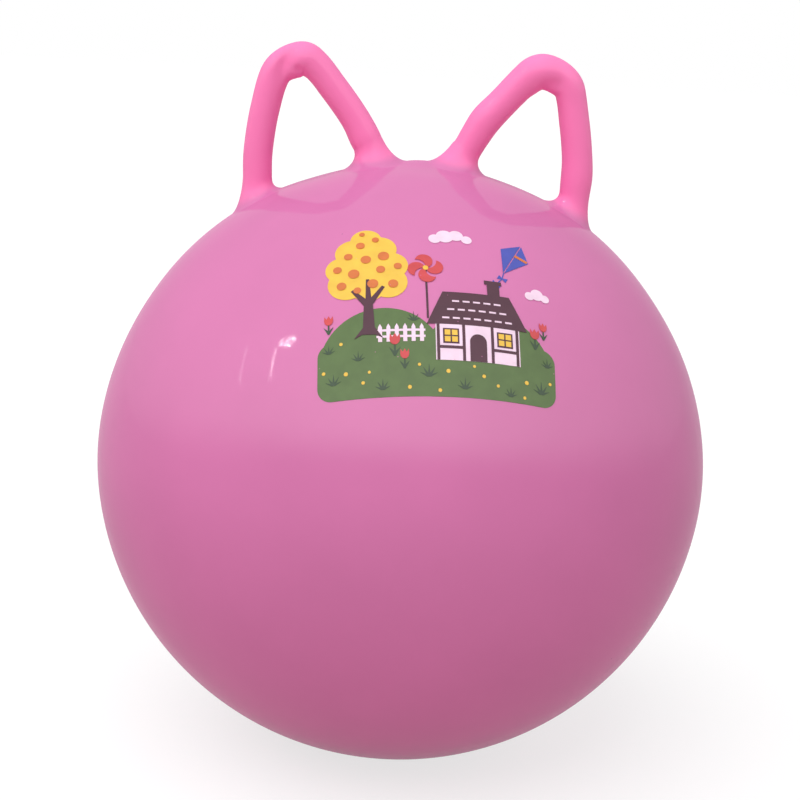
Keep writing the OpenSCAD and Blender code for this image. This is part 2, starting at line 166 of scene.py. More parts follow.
def add(tree, kind, links=None, values=None, **settings):
    """Adds a node: settings are its properties, values its sockets, links the sockets that feed it."""
    node = tree.nodes.new(kind)
    for name, value in settings.items():
        setattr(node, name, value)
    for name, value in (values or {}).items():
        node.inputs[name].default_value = value
    for name, source in (links or {}).items():
        tree.links.new(source, node.inputs[name])
    return node


def new_material(name):
    """An empty node material with its output and a Principled shader."""
    material = bpy.data.materials.new(name)
    material.use_nodes = True
    tree = material.node_tree
    tree.nodes.clear()
    shader = add(tree, "ShaderNodeBsdfPrincipled")
    add(tree, "ShaderNodeOutputMaterial", {"Surface": shader.outputs["BSDF"]})
    return material, tree, shader


# Where the vinyl is stretched thin the pigment thins out with it: the ball is pale, the ears are deep pink.
# The film is the share of the surface that is wet with plasticiser, on the ball and on the ears.
# Clouds are their size, their detail, the part of the noise that is used, and their two shades.
PALE_PINK = "#cc73a7"
DEEP_PINK = "#f781ba"
GRIT_GREY = "#8d5a78"
VINYL_IOR = 1.53
VINYL_ROUGHNESS, FILM_ROUGHNESS = 0.5, 0.055
BALL_FILM, EAR_FILM = 0.32, 0.2
VINYL_CLOUDS = (0.09, 4.0, (0.25, 0.75), (0.965, 1.035))
PEEL_SIZE, PEEL_DETAIL, PEEL_HEIGHT = 0.0024, 2.0, 0.000005
WAVE_SIZE, WAVE_DETAIL, WAVE_HEIGHT = 0.035, 1.0, 0.00012
GRIT_SPACING, GRIT_RADIUS_SHARE, GRIT_LEFT_OUT = 0.022, 0.02, 0.85


def texture_scale(size):
    """The scale of a noise whose features are this size, in metres."""
    return 1 / size


def clouded(tree, place, colour, clouds):
    """A colour, given as a code or a socket, that is darker and lighter in clouds."""
    size, detail, span, shades = clouds
    cloud = add(tree, "ShaderNodeTexNoise", {"Vector": place},
                {"Scale": texture_scale(size), "Detail": detail})
    shade = add(tree, "ShaderNodeMapRange", {"Value": cloud.outputs["Fac"]},
                {"From Min": span[0], "From Max": span[1], "To Min": shades[0], "To Max": shades[1]})
    mixed = add(tree, "ShaderNodeMix", {"B": shade.outputs["Result"]}, {"Factor": 1.0},
                data_type="RGBA", blend_type="MULTIPLY")
    if isinstance(colour, str):
        mixed.inputs["A"].default_value = linear(colour)
    else:
        tree.links.new(colour, mixed.inputs["A"])
    return mixed.outputs["Result"]


def give_vinyl_gloss(shader):
    """Soft PVC is dull in itself, under a thin film of plasticiser that mirrors lamps sharply but weakly."""
    shader.inputs["Specular IOR Level"].default_value = 0.0
    shader.inputs["Roughness"].default_value = VINYL_ROUGHNESS
    shader.inputs["Coat IOR"].default_value = VINYL_IOR
    shader.inputs["Coat Weight"].default_value = BALL_FILM
    shader.inputs["Coat Roughness"].default_value = FILM_ROUGHNESS


def bump(tree, height, distance):
    """A bump node that raises the surface by this distance where the height is 1."""
    return add(tree, "ShaderNodeBump", {"Height": height}, {"Strength": 1.0, "Distance": distance})


def give_peel(tree, shader, place, under=None):
    """Fine orange peel, a few thousandths of a millimetre high, which breaks up small highlights."""
    peel = add(tree, "ShaderNodeTexNoise", {"Vector": place},
               {"Scale": texture_scale(PEEL_SIZE), "Detail": PEEL_DETAIL})
    raised = bump(tree, peel.outputs["Fac"], PEEL_HEIGHT)
    if under:
        tree.links.new(under, raised.inputs["Normal"])
    for socket in ("Normal", "Coat Normal"):
        tree.links.new(raised.outputs["Normal"], shader.inputs[socket])


def vinyl_material():
    """Rotomoulded PVC: soft gloss over faint orange peel, slow waves from the blow and a few grit specks."""
    material, tree, shader = new_material("rotomoulded_pvc_vinyl")
    place = add(tree, "ShaderNodeTexCoord").outputs["Object"]
    stretch = add(tree, "ShaderNodeAttribute", attribute_name="stretch").outputs["Fac"]
    pink = add(tree, "ShaderNodeMix", {"Factor": stretch}, data_type="RGBA")
    pink.inputs["A"].default_value = linear(DEEP_PINK)
    pink.inputs["B"].default_value = linear(PALE_PINK)
    clear = clouded(tree, place, pink.outputs["Result"], VINYL_CLOUDS)
    grit = add(tree, "ShaderNodeTexVoronoi", {"Vector": place}, {"Scale": texture_scale(GRIT_SPACING)})
    near = add(tree, "ShaderNodeMath", {0: grit.outputs["Distance"]}, {1: GRIT_RADIUS_SHARE},
               operation="LESS_THAN")
    some = add(tree, "ShaderNodeSeparateColor", {"Color": grit.outputs["Color"]})
    few = add(tree, "ShaderNodeMath", {0: some.outputs["Red"]}, {1: GRIT_LEFT_OUT}, operation="GREATER_THAN")
    speck = add(tree, "ShaderNodeMath", {0: near.outputs[0], 1: few.outputs[0]}, operation="MULTIPLY")
    colour = add(tree, "ShaderNodeMix", {"Factor": speck.outputs[0], "A": clear}, data_type="RGBA")
    colour.inputs["B"].default_value = linear(GRIT_GREY)
    tree.links.new(colour.outputs["Result"], shader.inputs["Base Color"])
    wave = add(tree, "ShaderNodeTexNoise", {"Vector": place},
               {"Scale": texture_scale(WAVE_SIZE), "Detail": WAVE_DETAIL})
    waves = bump(tree, wave.outputs["Fac"], WAVE_HEIGHT)
    give_vinyl_gloss(shader)
    film = add(tree, "ShaderNodeMapRange", {"Value": stretch}, {"To Min": EAR_FILM, "To Max": BALL_FILM})
    tree.links.new(film.outputs["Result"], shader.inputs["Coat Weight"])
    give_peel(tree, shader, place, waves.outputs["Normal"])
    return material


def set_stretch(piece, stretch):
    attribute = piece.data.attributes.new("stretch", "FLOAT", "POINT")
    attribute.data.foreach_set("value", np.asarray(stretch, dtype=np.float32).ravel())


def vertex_array(piece):
    points = np.zeros(len(piece.data.vertices) * 3)
    piece.data.vertices.foreach_get("co", points)
    return points.reshape(-1, 3)


vinyl = vinyl_material()
skin = mesh_object("moulded_skin", skin_points(), skin_faces())
give_wall(skin, SKIN)
skin.data.materials.append(vinyl)
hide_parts("ball_skin")
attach(skin, "ball")

# Each ear handle is a hollow tube of the same moulding, bent into a pointed loop with both feet on the crown.
# A Geometry Nodes tree sweeps the tube along its middle line, and the feet run out into the ball in a fillet.
# The narrow loops of the mould are left unpolished, so that the ears shine less than the ball.
OUTER_FOOT_X, INNER_FOOT_X = 0.114, 0.029
TIP_WIDTH = 0.0252
TIP_SPREAD_SHARE = 0.92
EAR_WALL = 0.002
RIPPLE_SPREAD = 0.45

# A tip is its place across, and its height over the crown.
# A leg's shares are the way from foot to tip, and the bow outward, both in shares of that way.
# A fillet is the reach all round an outer or inner foot, and what the side towards the loop adds to it.
# A ripple is its place counted in points of the line, what it adds to the radius, and its way outward.
# A dent is its place off the tip across, back and up, its spread, and its depth.
EARS = {
    "left": {
        "side": -1,
        "tip": (0.0863, 0.0702),
        "leg_width": 0.0208,
        "fillets": ((0.0085, 0.0020), (0.0115, 0.0055)),
        "outer_shares": ((0.144, 0.043), (0.331, 0.094), (0.610, 0.132), (0.874, 0.127)),
        "inner_shares": ((0.175, 0.052), (0.401, 0.082), (0.685, 0.084), (0.897, 0.069)),
        "ripples": ((8.75, 0.0007, -0.0004),),
        "dents": (
            ((-0.0080, -0.012, 0.0040), (0.0050, 0.012, 0.0060), 0.0024),
            ((-0.0100, -0.012, -0.0030), (0.0055, 0.012, 0.0060), 0.0030),
            ((-0.0125, -0.012, -0.0100), (0.0050, 0.012, 0.0070), 0.0022),
            ((-0.0005, -0.012, -0.0065), (0.0030, 0.012, 0.0028), 0.0018),
        ),
    },
    "right": {
        "side": 1,
        "tip": (0.0886, 0.0702),
        "leg_width": 0.0216,
        "fillets": ((0.0080, 0.0055), (0.0105, 0.0040)),
        "outer_shares": ((0.137, 0.056), (0.340, 0.111), (0.617, 0.141), (0.863, 0.146)),
        "inner_shares": ((0.176, 0.047), (0.368, 0.071), (0.609, 0.080), (0.846, 0.065)),
        "ripples": (
            (1.6, 0.0005, 0.0),
            (3.65, -0.00035, -0.00075),
            (5.7, 0.0005, 0.0003),
            (7.7, 0.0005, 0.0009),
            (8.9, -0.0003, -0.0006),
        ),
        "dents": (
            ((0.0060, -0.012, -0.0080), (0.0080, 0.012, 0.0050), 0.0018),
            ((0.0100, -0.012, -0.0040), (0.0060, 0.012, 0.0100), 0.0010),
        ),
    },
}
RINGS_PER_SPAN = 24
EAR_SIDES = 64
FILLET_STEPS = 16
ROOT_SINK = 0.00004
CREASE_MERGE = 0.00001
CREASE_REACH = 0.0045
CREASE_ROUNDS, CREASE_SOFTENING = 14, 0.5
CREASED_POINTS = 3
FADE_START, FADE_END = -0.005, 0.008
FADE_LEG_WIDTHS = 3


def foot_point(x):
    return np.array([x, 0.0, upper_middle[2] + math.sqrt(dome_radius ** 2 - x ** 2)])


def middle_points(ear):
    """The middle line's points, from the outer foot over the tip to the inner foot."""
    outer, inner = foot_point(OUTER_FOOT_X), foot_point(INNER_FOOT_X)
    tip = np.array([ear["tip"][0], 0.0, crown_z + ear["tip"][1]])

    def leg(foot, shares):
        way = tip - foot
        sideways = math.copysign(1, foot[0] - tip[0]) * np.array([way[2], 0.0, -way[0]])
        return [foot + along * way + out * sideways for along, out in shares]

    line = [outer, *leg(outer, ear["outer_shares"]), tip, *reversed(leg(inner, ear["inner_shares"])), inner]
    return np.array(line) * np.array([ear["side"], 1, 1])


def line_at(line, u):
    """Catmull-Rom curve through the line's points, at position u counted in points."""
    i = min(int(u), len(line) - 2)
    t = u - i
    a, b, c, d = (line[min(max(k, 0), len(line) - 1)] for k in range(i - 1, i + 3))
    return (2 * b + (c - a) * t + (2 * a - 5 * b + 4 * c - d) * t ** 2 + (3 * b - a - 3 * c + d) * t ** 3) / 2


def tube_tree():
    """Geometry Nodes: sweeps a round profile along a curve, as wide as the curve's own radius."""
    tree = bpy.data.node_groups.new("swept_tube", "GeometryNodeTree")
    tree.interface.new_socket("Geometry", in_out="INPUT", socket_type="NodeSocketGeometry")
    tree.interface.new_socket("Sides", in_out="INPUT", socket_type="NodeSocketInt")
    tree.interface.new_socket("Closed Ends", in_out="INPUT", socket_type="NodeSocketBool")
    tree.interface.new_socket("Vinyl", in_out="INPUT", socket_type="NodeSocketMaterial")
    tree.interface.new_socket("Geometry", in_out="OUTPUT", socket_type="NodeSocketGeometry")
    given = add(tree, "NodeGroupInput")
    profile = add(tree, "GeometryNodeCurvePrimitiveCircle", {"Resolution": given.outputs["Sides"]},
                  {"Radius": 1.0})
    radius = add(tree, "GeometryNodeInputRadius")
    sweep = add(tree, "GeometryNodeCurveToMesh", {
        "Curve": given.outputs["Geometry"],
        "Profile Curve": profile.outputs["Curve"],
        "Scale": radius.outputs["Radius"],
        "Fill Caps": given.outputs["Closed Ends"],
    })
    real = add(tree, "GeometryNodeRealizeInstances", {"Geometry": sweep.outputs["Mesh"]})
    finish = add(tree, "GeometryNodeSetMaterial",
                 {"Geometry": real.outputs["Geometry"], "Material": given.outputs["Vinyl"]})
    add(tree, "NodeGroupOutput", {"Geometry": finish.outputs["Geometry"]})
    return tree


def set_input(modifier, name, value):
    """Sets a Geometry Nodes input by its socket's identifier."""
    for item in modifier.node_group.interface.items_tree:
        if item.name == name and item.in_out == "INPUT":
            modifier[item.identifier] = value


def swept_tube(name, line, radii, sides, closed_ends):
    """A tube along a line of points, made by the sweep tree and turned into a plain mesh."""
    curve = bpy.data.curves.new(name, "CURVE")
    curve.dimensions = "3D"
    spline = curve.splines.new("POLY")
    spline.points.add(len(line) - 1)
    for point, place, radius in zip(spline.points, line, radii):
        point.co = (*place, 1.0)
        point.radius = radius
    path = bpy.data.objects.new(name, curve)
    bpy.context.scene.collection.objects.link(path)
    sweep = path.modifiers.new("sweep", "NODES")
    sweep.node_group = sweep_tree
    set_input(sweep, "Sides", sides)
    set_input(sweep, "Closed Ends", closed_ends)
    set_input(sweep, "Vinyl", vinyl)
    graph = bpy.context.evaluated_depsgraph_get()
    mesh = bpy.data.meshes.new_from_object(path.evaluated_get(graph), depsgraph=graph)
    bpy.data.objects.remove(path)
    tube = bpy.data.objects.new(name, mesh)
    bpy.context.scene.collection.objects.link(tube)
    return tube


def landed(points, down):
    """Where points come down on the upper dome when they slide along a direction."""
    away = points - upper_middle
    along = dot(away, down)
    return points - down * (along + np.sqrt(along ** 2 - dot(away, away) + dome_radius ** 2))


def fillet_rings(top, middle, down, to_loop, fillet):
    """Rings from the leg down to the ball, square to the leg above and level with the skin below."""
    reach = fillet[0] + fillet[1] * np.clip(dot(unit(top - middle), to_loop), 0, 1)
    corner = landed(top, down)
    edge = landed(top + unit(top - middle) * reach, down)
    height = np.linalg.norm(top - upper_middle, axis=-1, keepdims=True) - dome_radius
    toward_top, toward_corner, toward_edge = (unit(p - upper_middle) for p in (top, corner, edge))
    rings = []
    for step in np.linspace(0, 1, FILLET_STEPS + 1)[1:]:
        turn = math.pi / 2 * (1 - (1 - step) ** 2)
        up, out = 1 - math.sin(turn), 1 - math.cos(turn)
        rise, run = (toward_top - toward_corner) * up, (toward_edge - toward_corner) * out
        direction = unit(toward_corner + rise + run)
        rings.append(ball_surface(direction) + direction * (height * up - ROOT_SINK * out ** 4))
    return rings


def dent(tube, tip, dents):
    """Presses the soft hollows of a bent tube backwards into the front of its tip."""
    points = vertex_array(tube)
    pressed = np.zeros((len(points), 1))
    for place, spread, depth in dents:
        away = (points - tip - np.array(place)) / np.array(spread)
        pressed += depth * np.exp(-dot(away, away))
    points += pressed * np.array([0.0, 1.0, 0.0])
    tube.data.vertices.foreach_set("co", points.ravel())


def fold_apex(tube, apex, along):
    """Inside the sharp bend the rings run back through each other: what does so is drawn together in a
    crease, which is then smoothed with the vinyl about it.
    Gives back the tube's edges outside and inside the loop."""
    rings = vertex_array(tube).reshape(-1, EAR_SIDES, 3)
    near = slice(apex - RINGS_PER_SPAN, apex + RINGS_PER_SPAN)
    creased = []
    for side in range(EAR_SIDES):
        drawn = []
        for point in rings[near, side].copy():
            drawn.append((point, 1))
            while len(drawn) > 1 and (drawn[-2][0] - drawn[-1][0]) @ along > 0:
                (before, first_count), (after, count) = drawn[-2:]
                total = first_count + count
                drawn[-2:] = [((before * first_count + after * count) / total, total)]
        rings[near, side] = [point for point, count in drawn for _ in range(count)]
        creased += [Vector(point) for point, count in drawn if count >= CREASED_POINTS]
    tube.data.vertices.foreach_set("co", rings.ravel())
    shape = bmesh.new()
    shape.from_mesh(tube.data)
    bmesh.ops.remove_doubles(shape, verts=shape.verts, dist=CREASE_MERGE)
    soft = [v for v in shape.verts if any((v.co - point).length < CREASE_REACH for point in creased)]
    for _ in range(CREASE_ROUNDS):
        bmesh.ops.smooth_vert(shape, verts=soft, factor=CREASE_SOFTENING,
                              use_axis_x=True, use_axis_y=True, use_axis_z=True)
    shape.to_mesh(tube.data)
    shape.free()
    return rings[:, EAR_SIDES // 4], rings[:, 3 * EAR_SIDES // 4]


def add_fillet(tube, foot, next_point, other_foot, middle, fillet):
    """Runs the tube's open end nearest to a foot out into the ball."""
    shape = bmesh.new()
    shape.from_mesh(tube.data)
    down, to_loop = unit(foot - next_point), unit(other_foot - foot)
    rim = [e for e in shape.edges if e.is_boundary and (e.verts[0].co - Vector(middle)).length < TIP_WIDTH]
    above = list(dict.fromkeys(v for e in rim for v in e.verts))
    pairs = [[above.index(v) for v in e.verts] for e in rim]
    for ring in fillet_rings(np.array([v.co for v in above]), middle, down, to_loop, fillet):
        below = [shape.verts.new(place) for place in ring]
        for i, j in pairs:
            shape.faces.new((above[i], above[j], below[j], below[i]))
        above = below
    bmesh.ops.recalc_face_normals(shape, faces=shape.faces)
    shape.to_mesh(tube.data)
    shape.free()


def edge_with_fillets(edge, line, path, fillets):
    """One edge of an ear, carried on down its fillets at both feet."""
    outer = fillet_rings(edge[:1], path[0], unit(line[0] - line[1]), unit(line[-1] - line[0]), fillets[0])
    inner = fillet_rings(edge[-1:], path[-1], unit(line[-1] - line[-2]), unit(line[0] - line[-1]), fillets[1])
    return np.vstack([*reversed(outer), edge, *inner])


def stretch_near_ears(points):
    """1 on the ball, 0 on the ears, and a soft step at each foot."""
    deep = np.zeros(len(points))
    height = np.linalg.norm(points - upper_middle, axis=1) - dome_radius
    for ear in EARS.values():
        line = middle_points(ear)
        for foot, near in ((line[0], line[1]), (line[-1], line[-2])):
            along = unit(near - foot)
            away = points - foot
            lateral = np.linalg.norm(away - dot(away, along) * along, axis=1) - ear["leg_width"] / 2
            step = (height - np.clip(lateral, 0, None) - FADE_START) / (FADE_END - FADE_START)
            step = np.clip(step, 0, 1)
            near_foot = lateral < FADE_LEG_WIDTHS * ear["leg_width"]
            deep = np.maximum(deep, np.where(near_foot, step * step * (3 - 2 * step), 0))
    deep = np.where(height > FADE_END, 1, deep)
    return 1 - deep


sweep_tree = tube_tree()
ear_edges = {}
for side, ear in EARS.items():
    line = middle_points(ear)
    last = len(line) - 2
    positions = np.linspace(1, last, (last - 1) * RINGS_PER_SPAN + 1)
    leg = ear["leg_width"] / 2
    swell = np.exp(-((positions - (len(line) - 1) / 2) / TIP_SPREAD_SHARE) ** 2)
    radii = leg + (TIP_WIDTH / 2 - leg) * swell
    path = np.array([line_at(line, u) for u in positions])
    way = unit(np.gradient(path, axis=0))
    outward = ear["side"] * np.stack([way[:, 2], 0 * way[:, 0], -way[:, 0]], axis=1)
    for place, widen, shift in ear["ripples"]:
        ripple = np.exp(-((positions - place) / RIPPLE_SPREAD) ** 2)
        radii = radii + widen * ripple
        path = path + shift * outward * ripple[:, None]
    tube = swept_tube(side + "_ear_tube", path, radii, EAR_SIDES, False)
    apex = len(path) // 2
    along = unit(path[apex + 1] - path[apex - 1])
    edges = fold_apex(tube, apex, along)
    ear_edges[side] = [edge_with_fillets(edge, line, path, ear["fillets"]) for edge in edges]
    add_fillet(tube, line[0], line[1], line[-1], path[0], ear["fillets"][0])
    add_fillet(tube, line[-1], line[-2], line[0], path[-1], ear["fillets"][1])
    dent(tube, path[apex], ear["dents"])
    tube.data.polygons.foreach_set("use_smooth", [True] * len(tube.data.polygons))
    give_wall(tube, EAR_WALL)
    set_stretch(tube, stretch_near_ears(vertex_array(tube)))
    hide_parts(side + "_ear")
    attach(tube, "ball")
set_stretch(skin, stretch_near_ears(vertex_array(skin)))

# The halves of the mould meet in the plane of the ears, and leave a fine raised parting line all round:
# up one side of the ball, over both ears and down the other side, and round inside each loop.
SEAM_RADIUS, SEAM_RISE = 0.0006, 0.0002
SEAM_STEP = 0.002
SEAM_SIDES = 10
SEAM_FADE_STEPS = 5
SEAM_END_X = 0.040
SEAM_CREASE_GAP = 0.008


def crown_angle(point):
    """Where a point of the parting plane stands on the ball, as an angle from the crown."""
    return math.atan2(point[0], point[2] - upper_middle[2])


def seam_on_ball(start, end):
    angles = np.linspace(start, end, max(2, round(abs(end - start) * dome_radius / SEAM_STEP)))
    return ball_surface(np.stack([np.sin(angles), 0 * angles, np.cos(angles)], axis=1))


def spaced(points):
    kept = [points[0]]
    for point in points[1:]:
        if np.linalg.norm(point - kept[-1]) > SEAM_STEP / 2:
            kept.append(point)
    return np.array(kept)


def legs(edge):
    """The two legs of an ear's inside edge, from which the crease between them has pressed the line out."""
    middle = len(edge) // 2
    clear = np.linalg.norm(edge - edge[middle], axis=1) > SEAM_CREASE_GAP
    return edge[:middle][clear[:middle]], edge[middle:][clear[middle:]]


def parting_line(name, parts):
    """A bead along these parts of a line, which runs with the vinyl on its right hand, seen from the front.
    It thins out at its ends, and so sinks into the vinyl there."""
    line = spaced(np.vstack(parts))
    steps = np.arange(1, len(line) + 1)
    radii = SEAM_RADIUS * np.clip(np.minimum(steps, steps[::-1]) / SEAM_FADE_STEPS, 0, 1)
    way = unit(np.gradient(line, axis=0))
    inward = np.stack([way[:, 2], 0 * way[:, 0], -way[:, 0]], axis=1)
    line = line + inward * (SEAM_RADIUS - SEAM_RISE)
    bead = swept_tube(name, line, radii, SEAM_SIDES, True)
    for ear in EARS.values():
        dent(bead, middle_points(ear)[len(ear["outer_shares"]) + 1], ear["dents"])
    bead.data.polygons.foreach_set("use_smooth", [True] * len(bead.data.polygons))
    set_stretch(bead, stretch_near_ears(vertex_array(bead)))
    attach(bead, "ball")


(left_outside, left_inside), (right_outside, right_inside) = ear_edges["left"], ear_edges["right"]
seam_end = math.pi - math.asin(SEAM_END_X / dome_radius)
parting_line("parting_line", (
    seam_on_ball(-seam_end, crown_angle(left_outside[0])),
    left_outside,
    seam_on_ball(crown_angle(left_outside[-1]), crown_angle(right_outside[-1])),
    right_outside[::-1],
    seam_on_ball(crown_angle(right_outside[0]), seam_end),
))
outer_leg, inner_leg = legs(left_inside)
parting_line("left_loop_parting_line", (
    outer_leg[::-1],
    seam_on_ball(crown_angle(left_inside[0]), crown_angle(left_inside[-1])),
    inner_leg[::-1],
))
outer_leg, inner_leg = legs(right_inside)
parting_line("right_loop_parting_line", (
    inner_leg,
    seam_on_ball(crown_angle(right_inside[-1]), crown_angle(right_inside[0])),
    outer_leg,
))

# The picture is screen-printed in eight flat inks, one layer on the other, on the upper front of the ball.
# The ink is a soft vinyl ink that stretches with the skin, and lies a tenth of a millimetre proud.
INKS = {
    "print_green": "#546c3c",
    "print_dark_green": "#374b35",
    "print_white": "#ecd0e4",
    "print_yellow": "#e6bb46",
    "print_orange": "#cd7038",
    "print_brown": "#4c2737",
    "print_red": "#c64549",
    "print_blue": "#4650ac",
}
INK_CLOUDS = (0.010, 5.0, (0.3, 0.7), (0.92, 1.07))
PINHOLE_SPACING, PINHOLE_SHARES, PINHOLE_PINK = 0.009, (0.035, 0.055), 0.5


def ink_material(name, code):
    """Soft vinyl screen ink: opaque and a shade duller than the skin, cloudy where the squeegee left it thin,
    with a few pinholes that show the pink below."""
    material, tree, shader = new_material("screen_printed_vinyl_ink_" + name)
    place = add(tree, "ShaderNodeTexCoord").outputs["Object"]
    film = clouded(tree, place, code, INK_CLOUDS)
    dots = add(tree, "ShaderNodeTexVoronoi", {"Vector": place}, {"Scale": texture_scale(PINHOLE_SPACING)})
    hole = add(tree, "ShaderNodeMapRange", {"Value": dots.outputs["Distance"]},
               {"From Min": PINHOLE_SHARES[0], "From Max": PINHOLE_SHARES[1],
                "To Min": PINHOLE_PINK, "To Max": 0.0})
    colour = add(tree, "ShaderNodeMix", {"Factor": hole.outputs["Result"], "A": film}, data_type="RGBA")
    colour.inputs["B"].default_value = linear(PALE_PINK)
    tree.links.new(colour.outputs["Result"], shader.inputs["Base Color"])
    give_vinyl_gloss(shader)
    give_peel(tree, shader, place)
    return material


for name, code in INKS.items():
    film = nodes[name]
    film.data.materials.clear()
    film.data.materials.append(ink_material(name.removeprefix("print_"), code))

# The valve seat is injection-moulded soft PVC, welded into a hole at the back of the ball.
# Its steel mould was turned on a lathe, and the fine rings of the tool show on it.
valve_axis = Vector((0, math.cos(VALVE_LATITUDE), math.sin(VALVE_LATITUDE)))
WAVE_RADIANS = 20
RING_WOBBLE = 0.3
SEAT_PINK = "#e68dbe"
SEAT_CLOUDS = (0.006, 4.0, (0.3, 0.7), (0.95, 1.05))
SEAT_RINGS = (0.0007, 0.00002)


def place_on_valve(tree):
    """Object coordinates, moved and turned so that Z runs out along the valve's axis."""
    turn = Matrix.Rotation(math.pi / 2 - VALVE_LATITUDE, 3, "X")
    shift = -(turn @ (Vector(upper_middle) + valve_axis * dome_radius))
    place = add(tree, "ShaderNodeMapping", {"Vector": add(tree, "ShaderNodeTexCoord").outputs["Object"]},
                {"Rotation": turn.to_euler(), "Location": shift})
    return place.outputs["Vector"]


def turned_rings(tree, place, spacing, depth):
    """Bump of the rings that a lathe tool leaves in a mould, this far apart and this deep."""
    rings = add(tree, "ShaderNodeTexWave", {"Vector": place},
                {"Scale": 2 * math.pi / (WAVE_RADIANS * spacing), "Distortion": RING_WOBBLE},
                wave_type="RINGS", rings_direction="Z")
    return bump(tree, rings.outputs["Fac"], depth).outputs["Normal"]


seat_vinyl, tree, shader = new_material("injection_moulded_soft_pvc")
place = place_on_valve(tree)
colour = clouded(tree, place, SEAT_PINK, SEAT_CLOUDS)
tree.links.new(colour, shader.inputs["Base Color"])
give_vinyl_gloss(shader)
give_peel(tree, shader, place, turned_rings(tree, place, *SEAT_RINGS))
nodes["valve_seat"].data.materials.clear()
nodes["valve_seat"].data.materials.append(seat_vinyl)

# The stopper is a push-in plug with three sealing rings, injection-moulded in white polyethylene.
# That plastic is waxy: a wide soft gloss, rubbed duller in patches where fingers and nails pry at it.
POLYETHYLENE_IOR = 1.51
STOPPER_WHITE = "#e9e6e1"
STOPPER_CLOUDS = (0.004, 4.0, (0.3, 0.7), (0.97, 1.03))
STOPPER_RINGS = (0.0005, 0.000015)
RUBBED_SIZE, RUBBED_DETAIL = 0.003, 6.0
RUBBED_SPAN, RUBBED_ROUGHNESS = (0.35, 0.65), (0.3, 0.52)
stopper_plastic, tree, shader = new_material("injection_moulded_white_polyethylene")
place = place_on_valve(tree)
colour = clouded(tree, place, STOPPER_WHITE, STOPPER_CLOUDS)
tree.links.new(colour, shader.inputs["Base Color"])
shader.inputs["IOR"].default_value = POLYETHYLENE_IOR
rubbed = add(tree, "ShaderNodeTexNoise", {"Vector": place},
             {"Scale": texture_scale(RUBBED_SIZE), "Detail": RUBBED_DETAIL})
dull = add(tree, "ShaderNodeMapRange", {"Value": rubbed.outputs["Fac"]},
           {"From Min": RUBBED_SPAN[0], "From Max": RUBBED_SPAN[1],
            "To Min": RUBBED_ROUGHNESS[0], "To Max": RUBBED_ROUGHNESS[1]})
tree.links.new(dull.outputs["Result"], shader.inputs["Roughness"])
tree.links.new(turned_rings(tree, place, *STOPPER_RINGS), shader.inputs["Normal"])
nodes["valve_plug"].data.materials.clear()
nodes["valve_plug"].data.materials.append(stopper_plastic)

# A plain pale floor under the ball, of white acrylic sheet that glows a little, so its shadows stay pale.
# The camera sees it white, also in a reflection, but it lights the ball as a dimmer floor would.
FLOOR_WIDTH = 30.0
FLOOR_GLOW = 0.72
FLOOR_FOR_LIGHT, FLOOR_TO_THE_EYE = "#cfbbb9", "#939393"


def seen_directly(tree):
    """1 for what the camera sees, straight, mirrored or through glass, and 0 for what only lights."""
    ray = add(tree, "ShaderNodeLightPath").outputs
    seen = ray["Is Camera Ray"]
    for other in ("Is Glossy Ray", "Is Transmission Ray"):
        seen = add(tree, "ShaderNodeMath", {0: seen, 1: ray[other]}, operation="MAXIMUM").outputs[0]
    return seen


half = FLOOR_WIDTH / 2
corners = [(-half, -half, 0), (half, -half, 0), (half, half, 0), (-half, half, 0)]
floor = mesh_object("floor", corners, [(0, 1, 2, 3)])
floor_paint, tree, shader = new_material("pale_floor")
shader.inputs["Roughness"].default_value = 1.0
shader.inputs["Specular IOR Level"].default_value = 0.0
shader.inputs["Emission Strength"].default_value = FLOOR_GLOW
seen = seen_directly(tree)
floor_colour = add(tree, "ShaderNodeMix", {"Factor": seen}, data_type="RGBA")
floor_colour.inputs["A"].default_value = linear(FLOOR_FOR_LIGHT)
floor_colour.inputs["B"].default_value = linear(FLOOR_TO_THE_EYE)
tree.links.new(floor_colour.outputs["Result"], shader.inputs["Base Color"])
tree.links.new(seen, shader.inputs["Emission Color"])
floor.data.materials.append(floor_paint)

# The camera stands 1.25 m from the middle of the ball and 15 degrees above it, rolled 3 degrees.
# The ball's middle lies below the middle of the picture, so the camera looks a little over it.
CAMERA_DISTANCE = 1.25
CAMERA_RISE = math.radians(15)
CAMERA_ROLL = math.radians(3)
FOCAL_PIXELS = 1656.6
PICTURE_PIXELS = 800
BALL_MIDDLE_PIXEL = (400.3, 459.2)
SENSOR = 36.0


def turned(across, up, back):
    """The turn that takes the axes X, Y and Z to these three directions."""
    return Matrix((across, up, back)).transposed().to_quaternion()


def place_object(data, place, turn):
    """Puts a lamp or the camera into the scene."""
    made = bpy.data.objects.new(data.name, data)
    made.rotation_mode = "QUATERNION"
    made.rotation_quaternion = turn
    made.location = place
    bpy.context.scene.collection.objects.link(made)
    return made


def aim(back, roll, sight):
    """The turn of a camera that sees what lies against back at this place of its view, in focal lengths."""
    across = math.cos(roll) * Vector((1, 0, 0)) + math.sin(roll) * back.cross(Vector((1, 0, 0)))
    forward = -(back + sight[0] * across + sight[1] * back.cross(across)).normalized()
    up = back.cross(across)
    up = (up - up.dot(forward) * forward).normalized()
    return turned(forward.cross(up), up, -forward)


